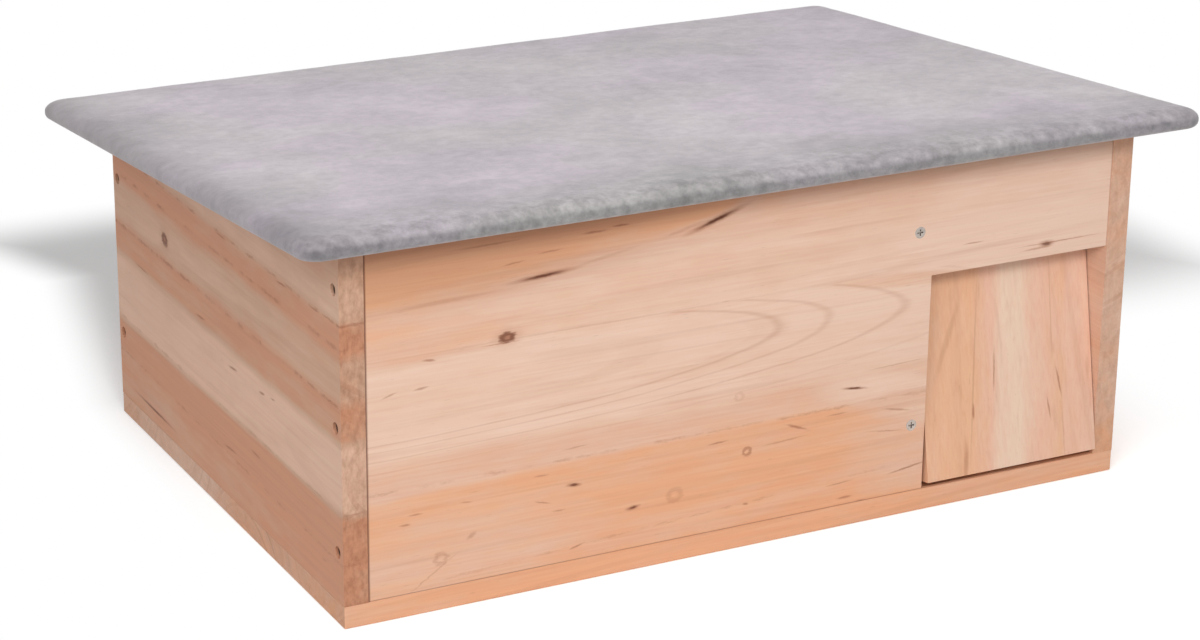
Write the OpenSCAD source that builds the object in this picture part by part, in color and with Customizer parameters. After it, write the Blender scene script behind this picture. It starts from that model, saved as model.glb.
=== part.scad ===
// Hedgehog house: a low wooden box with a hinged felted roof, a swinging
// entrance flap and a partition inside. Millimetres, +Z up, front faces -Y.
// Origin: middle of the footprint of the whole object, on the floor's underside.

/* [Box] */
// Outside width of the box
body_w = 500; // [460:1:540]
// Outside depth of the box
body_d = 350; // [330:1:375]
// Height of the walls at the front face
front_h = 217.7; // [210:0.1:230]
// Thickness of the floor board
floor_t = 13; // [12:0.5:15]
// Thickness of the wall boards
wall_t = 14; // [12:0.5:16]
// How far the front panel sits behind the edges of the side panels
front_step = 0.5; // [0.2:0.1:1.2]

/* [Roof] */
// Fall of the roof towards the back, degrees
roof_pitch = 4.8; // [4:0.1:5.5]
// Overhang at each side
over_side = 30; // [26:1:40]
// Overhang at the front
over_front = 29; // [26:1:40]
// Overhang at the back, with room for the hinges
over_back = 46; // [44:1:60]
// Thickness of the roof board
board_t = 8; // [8:0.5:12]
// Thickness of the felt
felt_t = 2; // [1.6:0.1:2.5]
// Width of the felt turned in under the board
felt_turn = 20; // [16:1:20]
// Corner radius of the roof seen from above
corner_r = 13; // [12:1:16]
// Width of the soft rounding along the roof's upper edge
edge_w = 11; // [9:0.5:12]
// Height of that rounding
edge_h = 7; // [6:0.5:8]
// Rounding of the roof's lower edge
edge_low = 4; // [3.5:0.1:4.5]
// Height of the square part of the board's edge
board_square = 3; // [2:0.5:3.5]
// Width of the slope planed along the board's upper edge
board_slope = 4.5; // [4:0.5:6]
// Gap between the wall tops and the roof board
seat_gap = 0.3; // [0.2:0.05:0.5]

/* [Entrance] */
// Width of the doorway
door_w = 121.5; // [110:0.5:135]
// Height of the doorway above the floor board
door_h = 131.5; // [125:0.5:136]
// Thickness of the flap
flap_t = 12; // [10:0.5:13]
// Gap between the flap and the right side panel
flap_gap = 0.7; // [0.5:0.1:1.5]
// Gap between the flap and the left edge of the doorway
flap_left_gap = 2; // [1:0.1:4]
// Lean of the flap at rest, bottom outwards, degrees
flap_rest = 10.7; // [9:0.1:12]
// Height of the pivot above the floor board
pivot_h = 150; // [147:0.5:153]
// Depth of the pivot behind the front face
pivot_depth = 30.3; // [29.5:0.1:33]
// Height of the flap above its pivot
flap_top = 8; // [7:0.5:9]
// Clearance below the flap when it hangs straight
flap_clear = 0.7; // [0.6:0.1:3]
// Diameter of the pivot pins
pivot_d = 5; // [4:0.1:5.5]
// Running clearance of the flap on its pins, on the radius
pivot_fit = 0.08; // [0.04:0.01:0.1]
// Length of each pin inside the flap
pivot_in = 18; // [14:0.5:22]

/* [Partition] */
// Distance from the doorway's left edge to the partition's face
part_set = 2; // [1:0.5:4]
// Clear passage left behind the partition
passage_d = 125; // [110:1:140]

/* [Fasteners] */
// Diameter of the wood screws
screw_d = 3.5; // [3:0.1:4]
// Diameter of the wood screw heads
head_d = 6.8; // [6.4:0.1:7.2]
// Length of the wood screws
screw_l = 35; // [32:1:38]
// Depth of the screw heads below the side and floor boards
screw_sink = 1.8; // [1:0.1:2.4]
// Distance of the top screws of the front panel below the wall tops
top_screw_drop = 27.7; // [22:0.1:34]
// Distance of the upper partition screw below the wall tops
part_screw_drop = 46.3; // [42:0.1:52]
// Fit of a fastener in its hole, on the radius
hole_fit = 0.05; // [0.03:0.01:0.1]
// Length of the staple crowns
staple_w = 10; // [8:0.5:12]

/* [Roof hinges] */
// Distance of each hinge's middle from the end of the box
hinge_end = 100; // [70:1:130]
// Length of a hinge along its pin
hinge_l = 50; // [46:1:60]
// Width of a hinge leaf
leaf_w = 20; // [18:0.5:20]
// Thickness of a hinge leaf
leaf_t = 1.5; // [1.4:0.1:1.6]
// Outside diameter of the knuckles
knuckle_d = 6; // [5.6:0.1:6.4]
// Diameter of the hinge pin
pin_d = 3; // [2.6:0.1:3.2]
// Running clearance of the moving knuckle on the pin, on the radius
pin_fit = 0.06; // [0.04:0.01:0.1]
// Gap between neighbouring knuckles
knuckle_gap = 0.3; // [0.2:0.05:0.5]
// Gap between the knuckles and the wood
knuckle_clear = 0.4; // [0.3:0.05:0.6]
// Diameter of the hinge screws
hscrew_d = 3; // [2.6:0.1:3.2]
// Diameter of the hinge screw heads
hhead_d = 5.4; // [5:0.1:5.6]

/* [Hidden] */
$fn = 48;
roof_w = body_w + 2 * over_side;
roof_l = over_front + body_d / cos(roof_pitch) + over_back;
// Heights of the centres of the two roundings above the board's underside
low_v = edge_low - felt_t;
top_v = board_t + felt_t - edge_h;
// How far the roof reaches in front of and behind the front face, seen from above
reach_front = (edge_low - over_front) * cos(roof_pitch) + low_v * sin(roof_pitch) - edge_low;
top_reach = sqrt(pow(edge_w * cos(roof_pitch), 2) + pow(edge_h * sin(roof_pitch), 2));
reach_back = (roof_l - over_front - edge_w) * cos(roof_pitch) + top_v * sin(roof_pitch) + top_reach;
// Front face of the box, set so that the whole object is centred on Y = 0
y_front = -(reach_front + reach_back) / 2;
y_back = y_front + body_d;
x_side = body_w / 2;
x_in = x_side - wall_t;
front_back = y_front + front_step + wall_t;
door_left = x_in - door_w;
part_r = door_left - part_set;
part_l = part_r - wall_t;
part_mid = (part_l + part_r) / 2;
part_end = y_back - wall_t - passage_d;
front_mid = y_front + front_step + wall_t / 2;
back_mid = y_back - wall_t / 2;
// Heights of the screws in the walls
wall_rise = front_h - floor_t;
lintel_screw_z = front_h - top_screw_drop;
front_z = [floor_t + 0.142 * wall_rise, floor_t + 0.489 * wall_rise, lintel_screw_z];
rear_z = [floor_t + 0.205 * wall_rise, floor_t + 0.69 * wall_rise];
part_z = [floor_t + 0.202 * wall_rise, front_h - part_screw_drop];
// Places of the screws in the floor
floor_side_y = [for (k = [0.17, 0.5, 0.83]) y_front + k * body_d];
floor_front_x = [for (k = [-0.3, 0.04]) k * body_w];
floor_back_x = [for (k = [-0.32, 0, 0.32]) k * body_w];
floor_part_y = [for (k = [0.28, 0.82]) front_back + k * (part_end - front_back)];
// Flap
flap_l = door_left + flap_left_gap;
flap_r = x_in - flap_gap;
flap_w = flap_r - flap_l;
flap_drop = pivot_h - flap_clear;
pivot_z = floor_t + pivot_h;
pivot_y = y_front + pivot_depth;
pin_head_d = 1.8 * pivot_d;
pin_head_t = pivot_d / 2;
left_pin_l = wall_t + (flap_l - part_r) + pivot_in;
right_pin_l = wall_t + flap_gap + pivot_in;
// Roof hinges: the pin lies this far from the wall's face and from the board
pin_off = knuckle_d / 2 + knuckle_clear;
hinge_x = x_side - hinge_end;
roof_z = front_h + seat_gap;
hinge_py = y_back + pin_off;
pin_v = -pin_off;
pin_u = (body_d + pin_off - pin_v * sin(roof_pitch)) / cos(roof_pitch);
hinge_pz = roof_z - pin_u * sin(roof_pitch) + pin_v * cos(roof_pitch);
mid_k = 0.36 * hinge_l;
pin_end = pin_d / 6;
swing_r = knuckle_d / 2 + knuckle_clear;
hscrew_x = 0.32 * hinge_l;
hscrew_v = 0.58 * leaf_w;
wall_hscrew_l = 0.86 * wall_t;
roof_hscrew_l = board_t;
// Staples under the roof's edge
staple_t = 0.08 * staple_w;
staple_leg = felt_t + board_t / 2 - staple_t;
staple_side_u = [for (k = [0.09, 0.37, 0.65, 0.89]) k * roof_l - over_front];
staple_front_x = [for (k = [-0.36, -0.125, 0.125, 0.36]) k * roof_w];
staple_back_x = [for (k = [-0.42, -0.14, 0.14, 0.42]) k * roof_w];
staple_in = 0.62 * felt_turn;

// A countersunk screw: head face at the origin, body running along -Z
module screw(d, hd, l) {
  hh = (hd - d) / 2;
  difference() {
    union() {
      translate([0, 0, -hh]) cylinder(d1 = d, d2 = hd, h = hh);
      translate([0, 0, -l]) cylinder(d = d, h = l - hh / 2);
    }
    for (turn = [0, 90])
      rotate([0, 0, turn]) translate([-0.29 * hd, -0.066 * hd, -0.16 * hd])
        cube([0.58 * hd, 0.132 * hd, 0.3 * hd]);
  }
}

// The hole for that screw, open above the head
module screw_hole(d, hd, l, above) {
  hh = (hd - d) / 2;
  translate([0, 0, -hh]) cylinder(d1 = d + 2 * hole_fit, d2 = hd + 2 * hole_fit, h = hh);
  translate([0, 0, -l - hole_fit]) cylinder(d = d + 2 * hole_fit, h = l);
  cylinder(d = hd + 2 * hole_fit, h = above);
}

// Placements: a child drawn along -Z is turned to run into the wood
module from_left(y, z) {
  translate([-x_side + screw_sink, y, z]) rotate([0, -90, 0]) children();
}
module from_right(y, z) {
  translate([x_side - screw_sink, y, z]) rotate([0, 90, 0]) children();
}
module from_front(x, z) {
  translate([x, y_front + front_step, z]) rotate([90, 0, 0]) children();
}
module from_below(x, y) {
  translate([x, y, screw_sink]) rotate([180, 0, 0]) children();
}

// Whole sets of placements
module at_left_front() {
  for (z = front_z) from_left(front_mid, z) children();
}
module at_left_rear() {
  for (z = rear_z) from_left(back_mid, z) children();
}
module at_right_front() {
  from_right(front_mid, lintel_screw_z) children();
}
module at_right_rear() {
  for (z = rear_z) from_right(back_mid, z) children();
}
module at_partition() {
  for (z = part_z) from_front(part_mid, z) children();
}
module at_floor() {
  for (y = floor_side_y) from_below(-x_side + wall_t / 2, y) children();
  for (y = floor_side_y) from_below(x_side - wall_t / 2, y) children();
  for (x = floor_front_x) from_below(x, front_mid) children();
  for (x = floor_back_x) from_below(x, back_mid) children();
  for (y = floor_part_y) from_below(part_mid, y) children();
}

module wood_screw() {
  screw(screw_d, head_d, screw_l);
}
module wood_screw_hole() {
  screw_hole(screw_d, head_d, screw_l, 2 * screw_sink);
}

// Frame of the roof: origin on the board's underside over the front face
module on_roof() {
  translate([0, y_front, roof_z]) rotate([-roof_pitch, 0, 0]) children();
}

// Everything above the sloping tops of the walls
module above_walls() {
  translate([0, y_front, front_h]) rotate([-roof_pitch, 0, 0])
    translate([-body_w, -body_d, 0]) cube([2 * body_w, 3 * body_d, front_h]);
}

// The pins' shapes, drawn along +X from the head's outer face
module pivot_pin(l) {
  rotate([0, 90, 0]) cylinder(d = pivot_d, h = l);
  rotate([0, 90, 0]) cylinder(d = pin_head_d, h = pin_head_t);
}
module pivot_pin_hole(l) {
  translate([-pivot_d, 0, 0]) rotate([0, 90, 0])
    cylinder(d = pivot_d + 2 * hole_fit, h = l + 2 * pivot_d);
  translate([-pivot_d, 0, 0]) rotate([0, 90, 0])
    cylinder(d = pin_head_d + 2 * hole_fit, h = pin_head_t + pivot_d + hole_fit);
}
module at_left_pivot() {
  translate([part_l, pivot_y, pivot_z]) children();
}
module at_right_pivot() {
  translate([x_side, pivot_y, pivot_z]) mirror([1, 0, 0]) children();
}

module floor_panel() {
  color([0.80, 0.62, 0.46])
    difference() {
      translate([-x_side, y_front, 0]) cube([body_w, body_d, floor_t]);
      at_floor() wood_screw_hole();
    }
}

// One side panel, its left face at x0
module side_board(x0) {
  difference() {
    translate([x0, y_front, floor_t]) cube([wall_t, body_d, wall_rise]);
    above_walls();
    at_floor() wood_screw_hole();
  }
}

module left_side_panel() {
  color([0.78, 0.60, 0.46])
    difference() {
      side_board(-x_side);
      at_left_front() wood_screw_hole();
      at_left_rear() wood_screw_hole();
    }
}

module right_side_panel() {
  color([0.82, 0.66, 0.52])
    difference() {
      side_board(x_in);
      at_right_front() wood_screw_hole();
      at_right_rear() wood_screw_hole();
      at_right_pivot() pivot_pin_hole(wall_t);
    }
}

module front_panel() {
  color([0.87, 0.70, 0.56])
    difference() {
      translate([-x_in, y_front + front_step, floor_t])
        cube([2 * x_in, wall_t, wall_rise]);
      translate([door_left, y_front - wall_t, floor_t - wall_t])
        cube([door_w + wall_t, 3 * wall_t, door_h + wall_t]);
      above_walls();
      at_left_front() wood_screw_hole();
      at_right_front() wood_screw_hole();
      at_partition() wood_screw_hole();
      at_floor() wood_screw_hole();
    }
}

module back_panel() {
  color([0.82, 0.65, 0.50])
    difference() {
      translate([-x_in, y_back - wall_t, floor_t]) cube([2 * x_in, wall_t, wall_rise]);
      above_walls();
      at_left_rear() wood_screw_hole();
      at_right_rear() wood_screw_hole();
      at_floor() wood_screw_hole();
      for (sx = [-hinge_x, hinge_x]) at_wall_screws(sx) hinge_screw_hole(wall_hscrew_l);
    }
}

module partition_wall() {
  color([0.82, 0.66, 0.52])
    difference() {
      translate([part_l, front_back, floor_t])
        cube([wall_t, part_end - front_back, wall_rise]);
      above_walls();
      at_partition() wood_screw_hole();
      at_floor() wood_screw_hole();
      at_left_pivot() pivot_pin_hole(wall_t);
    }
}

module partition_screws() {
  color([0.72, 0.72, 0.74]) at_partition() wood_screw();
}
module floor_screws() {
  color([0.72, 0.72, 0.74]) at_floor() wood_screw();
}
module left_front_screws() {
  color([0.72, 0.72, 0.74]) at_left_front() wood_screw();
}
module left_rear_screws() {
  color([0.72, 0.72, 0.74]) at_left_rear() wood_screw();
}
module right_front_screws() {
  color([0.72, 0.72, 0.74]) at_right_front() wood_screw();
}
module right_rear_screws() {
  color([0.72, 0.72, 0.74]) at_right_rear() wood_screw();
}

// The flap hangs from two pins and leans outwards at rest
module entrance_flap() {
  color([0.88, 0.72, 0.58])
    translate([0, pivot_y, pivot_z]) rotate([-flap_rest, 0, 0])
      difference() {
        union() {
          translate([flap_l, -flap_t / 2, -flap_drop])
            cube([flap_w, flap_t, flap_drop + flap_top - flap_t / 2]);
          translate([flap_l, 0, flap_top - flap_t / 2]) rotate([0, 90, 0])
            cylinder(d = flap_t, h = flap_w);
        }
        translate([flap_l - pivot_d, 0, 0]) rotate([0, 90, 0])
          cylinder(d = pivot_d + 2 * pivot_fit, h = pivot_in + pivot_d + flap_gap);
        translate([flap_r - pivot_in - flap_gap, 0, 0]) rotate([0, 90, 0])
          cylinder(d = pivot_d + 2 * pivot_fit, h = pivot_in + pivot_d + flap_gap);
      }
}

module flap_pivot_left() {
  color([0.70, 0.70, 0.72]) at_left_pivot() pivot_pin(left_pin_l);
}
module flap_pivot_right() {
  color([0.70, 0.70, 0.72]) at_right_pivot() pivot_pin(right_pin_l);
}

// Plain slab with rounded corners, lying on z = 0
module slab(w, u0, u1, r, t) {
  translate([-w / 2 + r, u0, 0]) cube([w - 2 * r, u1 - u0, t]);
  translate([-w / 2, u0 + r, 0]) cube([w, u1 - u0 - 2 * r, t]);
  for (x = [-w / 2 + r, w / 2 - r], u = [u0 + r, u1 - r])
    translate([x, u, 0]) cylinder(r = r, h = t);
}

// The board inside the felt, drawn in from the roof's rim by a distance
module inset_slab(d, t) {
  slab(roof_w - 2 * d, -over_front + d, roof_l - over_front - d, corner_r - d, t);
}
module board_slab() {
  hull() {
    inset_slab(felt_t, board_square, $fn = 32);
    inset_slab(felt_t + board_slope, board_t, $fn = 32);
  }
}

// Staples: two legs and a crown, drawn along +Z from the crown's lower face
module staple() {
  translate([-staple_w / 2, -staple_t / 2, 0]) cube([staple_w, staple_t, staple_t]);
  for (x = [-staple_w / 2, staple_w / 2 - staple_t])
    translate([x, -staple_t / 2, 0]) cube([staple_t, staple_t, staple_leg]);
}
module staple_slots() {
  for (x = [-staple_w / 2, staple_w / 2 - staple_t])
    translate([x - hole_fit, -staple_t / 2 - hole_fit, -staple_t])
      cube([staple_t + 2 * hole_fit, staple_t + 2 * hole_fit, staple_leg + staple_t + hole_fit]);
}
module at_staples() {
  for (sx = [-1, 1], u = staple_side_u)
    translate([sx * (roof_w / 2 - staple_in), u, -felt_t - staple_t]) rotate([0, 0, 90]) children();
  for (x = staple_front_x)
    translate([x, -over_front + staple_in, -felt_t - staple_t]) children();
  for (x = staple_back_x)
    translate([x, roof_l - over_front - staple_in, -felt_t - staple_t]) children();
}

module roof_board() {
  color([0.76, 0.60, 0.44])
    difference() {
      on_roof() board_slab();
      on_roof() at_staples() staple_slots();
      for (sx = [-hinge_x, hinge_x]) at_roof_screws(sx) hinge_screw_hole(roof_hscrew_l);
    }
}

// The rounding of an edge, a quarter of an oval, run round a corner of the roof
module edge_ring(w, h) {
  rotate_extrude($fn = 32) intersection() {
    translate([corner_r - w, 0]) scale([w / h, 1]) circle(r = h, $fn = 32);
    square([corner_r, h]);
  }
}

// Felt drawn over the board, round its edges and a little way in below
module roof_felt() {
  color([0.62, 0.60, 0.62])
    on_roof() difference() {
      hull()
        for (x = [-roof_w / 2 + corner_r, roof_w / 2 - corner_r])
          for (u = [-over_front + corner_r, roof_l - over_front - corner_r]) {
            translate([x, u, low_v]) mirror([0, 0, 1]) edge_ring(edge_low, edge_low);
            translate([x, u, top_v]) edge_ring(edge_w, edge_h);
          }
      board_slab();
      translate([-roof_w / 2 + felt_turn, -over_front + felt_turn, -board_t])
        cube([roof_w - 2 * felt_turn, roof_l - 2 * felt_turn, 1.5 * board_t]);
      at_staples() staple_slots();
    }
}

module felt_staples() {
  color([0.72, 0.72, 0.74]) on_roof() at_staples() staple();
}

// Frames of the two leaves: the pin along X through the origin, the leaf
// running along +Y with its back face at z = pin_off
module wall_leaf_frame(sx) {
  translate([sx, hinge_py, hinge_pz]) rotate([-90, 0, 0]) mirror([0, 0, 1]) children();
}
module roof_leaf_frame(sx) {
  translate([sx, hinge_py, hinge_pz]) rotate([-roof_pitch, 0, 0]) children();
}
module knuckle(x0, x1, bore) {
  difference() {
    translate([x0, 0, 0]) rotate([0, 90, 0]) cylinder(d = knuckle_d, h = x1 - x0);
    translate([x0 - bore, 0, 0]) rotate([0, 90, 0]) cylinder(d = bore, h = x1 - x0 + 2 * bore);
  }
}
module leaf_screw_places() {
  for (x = [-hscrew_x, hscrew_x])
    translate([x, hscrew_v, pin_off - leaf_t]) rotate([180, 0, 0]) children();
}
module hinge_screw(l) {
  screw(hscrew_d, hhead_d, l);
}
module hinge_screw_hole(l) {
  screw_hole(hscrew_d, hhead_d, l, leaf_t);
}
module at_wall_screws(sx) {
  wall_leaf_frame(sx) leaf_screw_places() children();
}
module at_roof_screws(sx) {
  roof_leaf_frame(sx) leaf_screw_places() children();
}

// The fixed leaf carries the two outer knuckles
module wall_leaf(sx) {
  wall_leaf_frame(sx) difference() {
    union() {
      translate([-hinge_l / 2, swing_r, pin_off - leaf_t])
        cube([hinge_l, leaf_w - swing_r, leaf_t]);
      for (x0 = [-hinge_l / 2, mid_k / 2 + knuckle_gap]) {
        knuckle(x0, x0 + hinge_l / 2 - mid_k / 2 - knuckle_gap, pin_d + 2 * hole_fit);
        translate([x0, 0, pin_off - leaf_t])
          cube([hinge_l / 2 - mid_k / 2 - knuckle_gap, swing_r + leaf_t, leaf_t]);
      }
    }
    leaf_screw_places() hinge_screw_hole(wall_hscrew_l);
  }
}

// The moving leaf carries the middle knuckle
module roof_leaf(sx) {
  roof_leaf_frame(sx) difference() {
    union() {
      translate([-hinge_l / 2, swing_r, pin_off - leaf_t])
        cube([hinge_l, leaf_w - swing_r, leaf_t]);
      knuckle(-mid_k / 2, mid_k / 2, pin_d + 2 * pin_fit);
      translate([-mid_k / 2, 0, pin_off - leaf_t]) cube([mid_k, swing_r + leaf_t, leaf_t]);
    }
    leaf_screw_places() hinge_screw_hole(roof_hscrew_l);
  }
}

module hinge_pin(sx) {
  translate([sx - hinge_l / 2 - pin_end, hinge_py, hinge_pz]) rotate([0, 90, 0])
    cylinder(d = pin_d, h = hinge_l + 2 * pin_end);
}

module hinge_wall_leaf_left() {
  color([0.75, 0.72, 0.62]) wall_leaf(-hinge_x);
}
module hinge_wall_leaf_right() {
  color([0.75, 0.72, 0.62]) wall_leaf(hinge_x);
}
module hinge_roof_leaf_left() {
  color([0.75, 0.72, 0.62]) roof_leaf(-hinge_x);
}
module hinge_roof_leaf_right() {
  color([0.75, 0.72, 0.62]) roof_leaf(hinge_x);
}
module hinge_pin_left() {
  color([0.70, 0.70, 0.72]) hinge_pin(-hinge_x);
}
module hinge_pin_right() {
  color([0.70, 0.70, 0.72]) hinge_pin(hinge_x);
}
module hinge_wall_screws() {
  color([0.72, 0.72, 0.74])
    for (sx = [-hinge_x, hinge_x]) at_wall_screws(sx) hinge_screw(wall_hscrew_l);
}
module hinge_roof_screws() {
  color([0.72, 0.72, 0.74])
    for (sx = [-hinge_x, hinge_x]) at_roof_screws(sx) hinge_screw(roof_hscrew_l);
}

floor_panel();
left_side_panel();
right_side_panel();
front_panel();
back_panel();
partition_wall();
partition_screws();
floor_screws();
left_front_screws();
left_rear_screws();
right_front_screws();
right_rear_screws();
entrance_flap();
flap_pivot_left();
flap_pivot_right();
roof_board();
roof_felt();
felt_staples();
hinge_wall_leaf_left();
hinge_wall_leaf_right();
hinge_roof_leaf_left();
hinge_roof_leaf_right();
hinge_pin_left();
hinge_pin_right();
hinge_wall_screws();
hinge_roof_screws();
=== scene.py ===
"""Looks of the hedgehog house: pine boards, a felted roof, zinc screws and hinges."""
import math

import bmesh
import bpy
from mathutils import Matrix, Vector, noise


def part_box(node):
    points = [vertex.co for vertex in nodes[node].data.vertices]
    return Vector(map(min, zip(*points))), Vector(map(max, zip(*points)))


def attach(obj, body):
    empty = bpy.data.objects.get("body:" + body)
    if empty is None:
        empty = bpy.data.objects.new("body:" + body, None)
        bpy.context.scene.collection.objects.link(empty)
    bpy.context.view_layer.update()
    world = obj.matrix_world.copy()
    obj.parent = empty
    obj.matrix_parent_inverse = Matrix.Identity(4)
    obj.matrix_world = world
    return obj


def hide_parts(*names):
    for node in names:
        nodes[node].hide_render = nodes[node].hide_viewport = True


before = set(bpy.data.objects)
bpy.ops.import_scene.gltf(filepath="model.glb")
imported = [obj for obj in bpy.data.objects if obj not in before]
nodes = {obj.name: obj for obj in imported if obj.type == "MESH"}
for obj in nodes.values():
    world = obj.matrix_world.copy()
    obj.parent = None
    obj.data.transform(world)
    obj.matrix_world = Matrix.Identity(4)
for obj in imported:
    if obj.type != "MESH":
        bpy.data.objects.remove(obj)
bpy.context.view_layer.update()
scene = bpy.context.scene

# Sizes of the house, in metres, read from the frame or the same as the solids
MM = 0.001
body_lo, body_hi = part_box("floor_panel")
LEFT = body_lo.x
RIGHT = body_hi.x
FRONT = body_lo.y
BACK = body_hi.y
ROOF_PITCH = math.radians(4.8)
ROOF_Z = 218 * MM
OVER_SIDE = 30 * MM
OVER_FRONT = 29 * MM
OVER_BACK = 46 * MM
BOARD_T = 8 * MM
FELT_T = 2 * MM
CORNER_R = 13 * MM
EDGE_LOW = 4 * MM

# Camera: the photograph's viewing angle
CAM_POS = (-0.8411, -1.5967, 0.7362)
CAM_AZ = math.radians(27.73)
CAM_EL = math.radians(20.11)
CAM_ROLL = math.radians(0.635)
CAM_LENS = 94.82
CAM_SENSOR = 36.0
CAM_FAR = 100.0


def make_camera():
    data = bpy.data.cameras.new("camera")
    data.lens = CAM_LENS
    data.sensor_width = CAM_SENSOR
    data.clip_end = CAM_FAR
    cam = bpy.data.objects.new("camera", data)
    turn = Matrix.Rotation(-CAM_AZ, 4, "Z")
    turn = turn @ Matrix.Rotation(math.pi / 2 - CAM_EL, 4, "X")
    turn = turn @ Matrix.Rotation(CAM_ROLL, 4, "Z")
    cam.matrix_world = Matrix.Translation(CAM_POS) @ turn
    scene.collection.objects.link(cam)
    scene.camera = cam


class Nodes:
    """A node tree with short calls for the nodes used here."""

    def __init__(self, tree):
        self.tree = tree
        tree.nodes.clear()

    def add(self, kind):
        return self.tree.nodes.new("ShaderNode" + kind)

    def put(self, socket, value):
        """Links a socket to another one, or sets its plain value."""
        if isinstance(value, bpy.types.NodeSocket):
            self.tree.links.new(value, socket)
        else:
            socket.default_value = value

    def math(self, op, a, b=0.0, c=0.0, clamp=False):
        n = self.add("Math")
        n.operation = op
        n.use_clamp = clamp
        for socket, value in zip(n.inputs, (a, b, c)):
            self.put(socket, value)
        return n.outputs[0]

    def split(self, vector):
        n = self.add("SeparateXYZ")
        self.put(n.inputs[0], vector)
        return n.outputs

    def join(self, x, y, z):
        n = self.add("CombineXYZ")
        for socket, value in zip(n.inputs, (x, y, z)):
            self.put(socket, value)
        return n.outputs[0]

    def noise(self, vector, scale=1.0, detail=3.0, rough=0.5, distort=0.0, out="Fac"):
        n = self.add("TexNoise")
        self.put(n.inputs["Vector"], vector)
        n.inputs["Scale"].default_value = scale
        n.inputs["Detail"].default_value = detail
        n.inputs["Roughness"].default_value = rough
        n.inputs["Distortion"].default_value = distort
        return n.outputs[out]

    def line_noise(self, value, scale, detail=1.0):
        """Noise along one number."""
        n = self.add("TexNoise")
        n.noise_dimensions = "1D"
        self.put(n.inputs["W"], value)
        n.inputs["Scale"].default_value = scale
        n.inputs["Detail"].default_value = detail
        return n.outputs["Fac"]

    def cells(self, vector):
        """Distance to the nearest cell's seed, and a random number for that cell."""
        n = self.add("TexVoronoi")
        self.put(n.inputs["Vector"], vector)
        n.inputs["Scale"].default_value = 1.0
        return n.outputs["Distance"], self.split(n.outputs["Color"])[0]

    def remap(self, value, lo, hi, to_lo=0.0, to_hi=1.0, smooth=False):
        n = self.add("MapRange")
        n.interpolation_type = "SMOOTHSTEP" if smooth else "LINEAR"
        self.put(n.inputs["Value"], value)
        for name, v in (("From Min", lo), ("From Max", hi), ("To Min", to_lo), ("To Max", to_hi)):
            self.put(n.inputs[name], v)
        return n.outputs["Result"]

    def fade(self, value, lo, hi, at_lo=0.0, at_hi=1.0):
        """A remap with soft ends."""
        return self.remap(value, lo, hi, at_lo, at_hi, smooth=True)

    def ramp(self, value, stops):
        n = self.add("ValToRGB")
        self.put(n.inputs[0], value)
        points = n.color_ramp.elements
        while len(points) < len(stops):
            points.new(0.5)
        for point, (at, colour) in zip(points, stops):
            point.position = at
            if not hasattr(colour, "__len__"):
                colour = (colour, colour, colour)
            point.color = (*colour, 1.0)
        return n.outputs["Color"]

    def mix(self, fac, a, b, blend="MIX"):
        n = self.add("Mix")
        n.data_type = "RGBA"
        n.blend_type = blend
        self.put(n.inputs["Factor"], fac)
        colour_inputs = [s for s in n.inputs if s.type == "RGBA"]
        for socket, value in zip(colour_inputs, (a, b)):
            if isinstance(value, tuple):
                value = (*value, 1.0)
            self.put(socket, value)
        return [s for s in n.outputs if s.type == "RGBA"][0]

    def vector(self, op, a, b=None, scale=None):
        n = self.add("VectorMath")
        n.operation = op
        self.put(n.inputs[0], a)
        if b is not None:
            self.put(n.inputs[1], b)
        if scale is not None:
            n.inputs["Scale"].default_value = scale
        return n.outputs["Value"] if op == "LENGTH" else n.outputs[0]

    def place(self, vector, location, turn, size):
        """Coordinates in which a mark at location is a unit ball."""
        n = self.add("Mapping")
        n.vector_type = "TEXTURE"
        self.put(n.inputs["Vector"], vector)
        n.inputs["Location"].default_value = location
        n.inputs["Rotation"].default_value = turn
        n.inputs["Scale"].default_value = size
        return n.outputs[0]

    def oval(self, vector, spot, size, turn=0.0):
        """Distance from an oval's middle, 1 on its rim; it runs through the board."""
        placed = self.place(vector, (*spot, 0.0), (0.0, 0.0, math.radians(turn)), (*size, THROUGH))
        return self.vector("LENGTH", placed)

    def bump(self, height, strength, distance):
        n = self.add("Bump")
        self.put(n.inputs["Height"], height)
        n.inputs["Strength"].default_value = strength
        n.inputs["Distance"].default_value = distance
        return n.outputs[0]

    def seen(self):
        """1 for rays that reach the camera straight, by a mirror or through glass."""
        path = self.add("LightPath").outputs
        bent = self.math("MAXIMUM", path["Is Glossy Ray"], path["Is Transmission Ray"])
        return self.math("MAXIMUM", path["Is Camera Ray"], bent)

    def blend(self, fac, a, b):
        """One shader fading into another."""
        n = self.add("MixShader")
        for socket, value in zip(n.inputs, (fac, a, b)):
            self.put(socket, value)
        return n.outputs[0]


class Shader(Nodes):
    """A material's node tree."""

    def __init__(self, name):
        self.mat = bpy.data.materials.new(name)
        self.mat.use_nodes = True
        super().__init__(self.mat.node_tree)
        self.out = self.add("OutputMaterial")
        coords = self.add("TexCoord")
        self.coords = coords.outputs["Object"]
        self.facing = coords.outputs["Normal"]

    def surface(self, colour, rough, normal=None, metallic=0.0, **more):
        n = self.add("BsdfPrincipled")
        self.put(n.inputs["Base Color"], colour)
        self.put(n.inputs["Roughness"], rough)
        n.inputs["Metallic"].default_value = metallic
        if normal is not None:
            self.put(n.inputs["Normal"], normal)
        for name, value in more.items():
            n.inputs[name.replace("_", " ")].default_value = value
        self.put(self.out.inputs["Surface"], n.outputs[0])
        return self.mat


def srgb(r, g, b):
    """A colour given as 0 to 255, as a linear triple."""
    def one(v):
        v /= 255.0
        return v / 12.92 if v <= 0.04045 else ((v + 0.055) / 1.055) ** 2.4
    return (one(r), one(g), one(b))


# Longer than any board is thick, so that a mark runs through it
THROUGH = 1e5

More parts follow.
